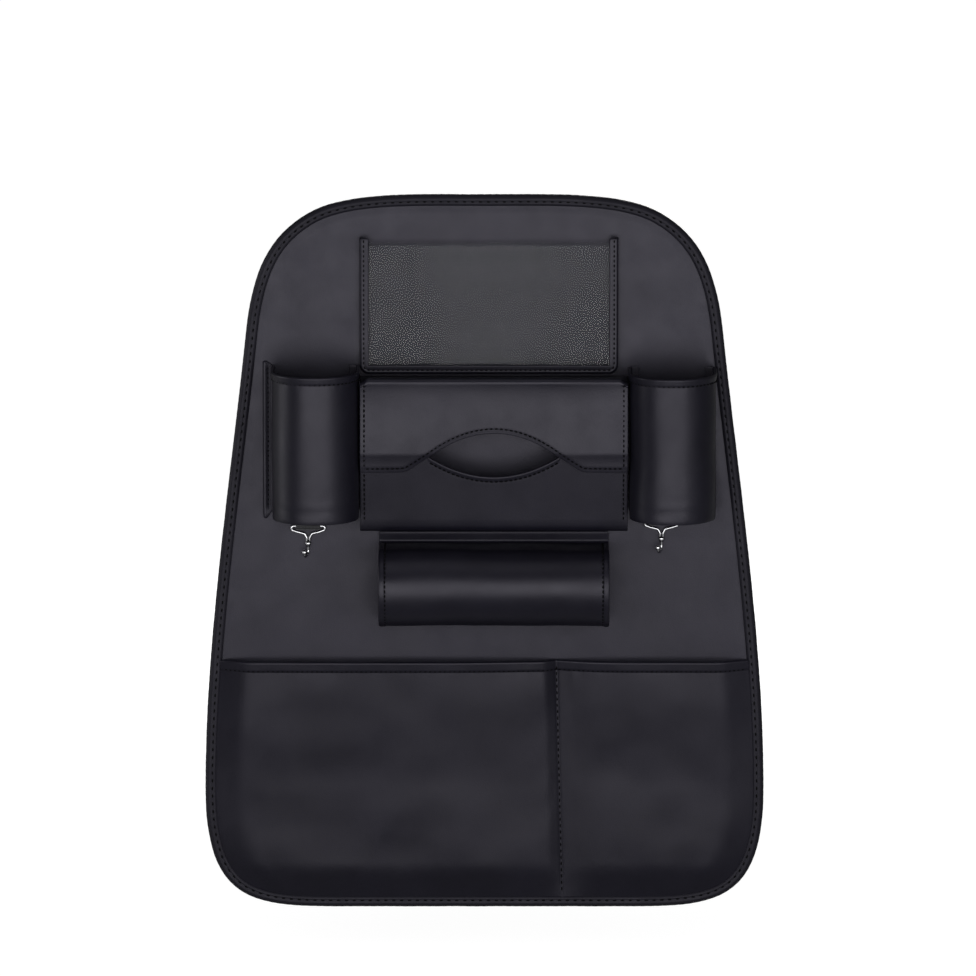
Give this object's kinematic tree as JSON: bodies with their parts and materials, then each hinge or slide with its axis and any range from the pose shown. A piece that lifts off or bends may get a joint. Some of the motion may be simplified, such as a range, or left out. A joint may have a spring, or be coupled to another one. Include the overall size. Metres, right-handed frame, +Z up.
{
  "type": "car seat organizer",
  "caption": "Hanging car seat back organizer: stiff leather panel with drink, box, roll, screen and lower pockets, hooks, and buckled straps on its back.",
  "frame": {"origin": "point on the flat back face of the lining, on the centre line, 330 mm above the panel's bottom edge", "axes": "+Z up along the panel's height, +X to the right seen from the front, +Y out of the back face towards the seat"},
  "size_m": [0.48, 0.1306, 0.6201],
  "materials": {
    "panel_leather": "fine-grained satin synthetic leather, near black",
    "binding_leather": "smooth satin synthetic leather strip, near black, stitched",
    "pocket_leather": "fine-grained satin synthetic leather, near black, hemmed and stitched",
    "stiffener": "plain fibre board",
    "lining": "black felted non-woven fabric",
    "clear_film": "clear soft film, glossy",
    "hook_and_loop": "black hook-and-loop tape",
    "webbing": "black ribbed polypropylene webbing",
    "buckle_plastic": "black moulded acetal, satin",
    "chrome_wire": "polished chrome-plated wire"
  },
  "bodies": {
    "panel": {"front_panel": "panel_leather", "stiffener_board": "stiffener", "back_lining": "lining", "edge_binding": "binding_leather", "screen_pocket_frame": "pocket_leather", "screen_pocket_window": "clear_film", "left_drink_pocket_wall": "pocket_leather", "left_drink_pocket_base": "pocket_leather", "right_drink_pocket_wall": "pocket_leather", "right_drink_pocket_base": "pocket_leather", "box_pocket_flap": "pocket_leather", "box_pocket_tray": "pocket_leather", "left_flap_hook_tape": "hook_and_loop", "left_flap_loop_tape": "hook_and_loop", "right_flap_hook_tape": "hook_and_loop", "right_flap_loop_tape": "hook_and_loop", "roll_sleeve": "pocket_leather", "lower_pocket_sheet": "pocket_leather", "left_hook_tab": "webbing", "right_hook_tab": "webbing", "upper_strap_left": "webbing", "upper_strap_right": "webbing", "upper_buckle_socket": "buckle_plastic", "lower_strap_left": "webbing", "lower_strap_right": "webbing", "lower_buckle_socket": "buckle_plastic"},
    "left_hook": {"left_hook": "chrome_wire"},
    "right_hook": {"right_hook": "chrome_wire"},
    "upper_plug": {"upper_buckle_plug": "buckle_plastic"},
    "lower_plug": {"lower_buckle_plug": "buckle_plastic"}
  },
  "joints": [
    {"name": "left_hook_swing", "type": "hinge", "parent": "panel", "child": "left_hook", "pos_m": [-0.1509, -0.009, 0.004], "axis": [-1, 0, 0], "range_deg": [0, 75]},
    {"name": "right_hook_swing", "type": "hinge", "parent": "panel", "child": "right_hook", "pos_m": [0.1515, -0.009, 0.008], "axis": [-1, 0, 0], "range_deg": [0, 75]},
    {"name": "upper_buckle_pull", "type": "slide", "parent": "panel", "child": "upper_plug", "axis": [1, 0, 0], "range_m": [0, 0.03], "deforming": ["upper_strap_right"]},
    {"name": "lower_buckle_pull", "type": "slide", "parent": "panel", "child": "lower_plug", "axis": [1, 0, 0], "range_m": [0, 0.03], "deforming": ["lower_strap_right"]}
  ]
}
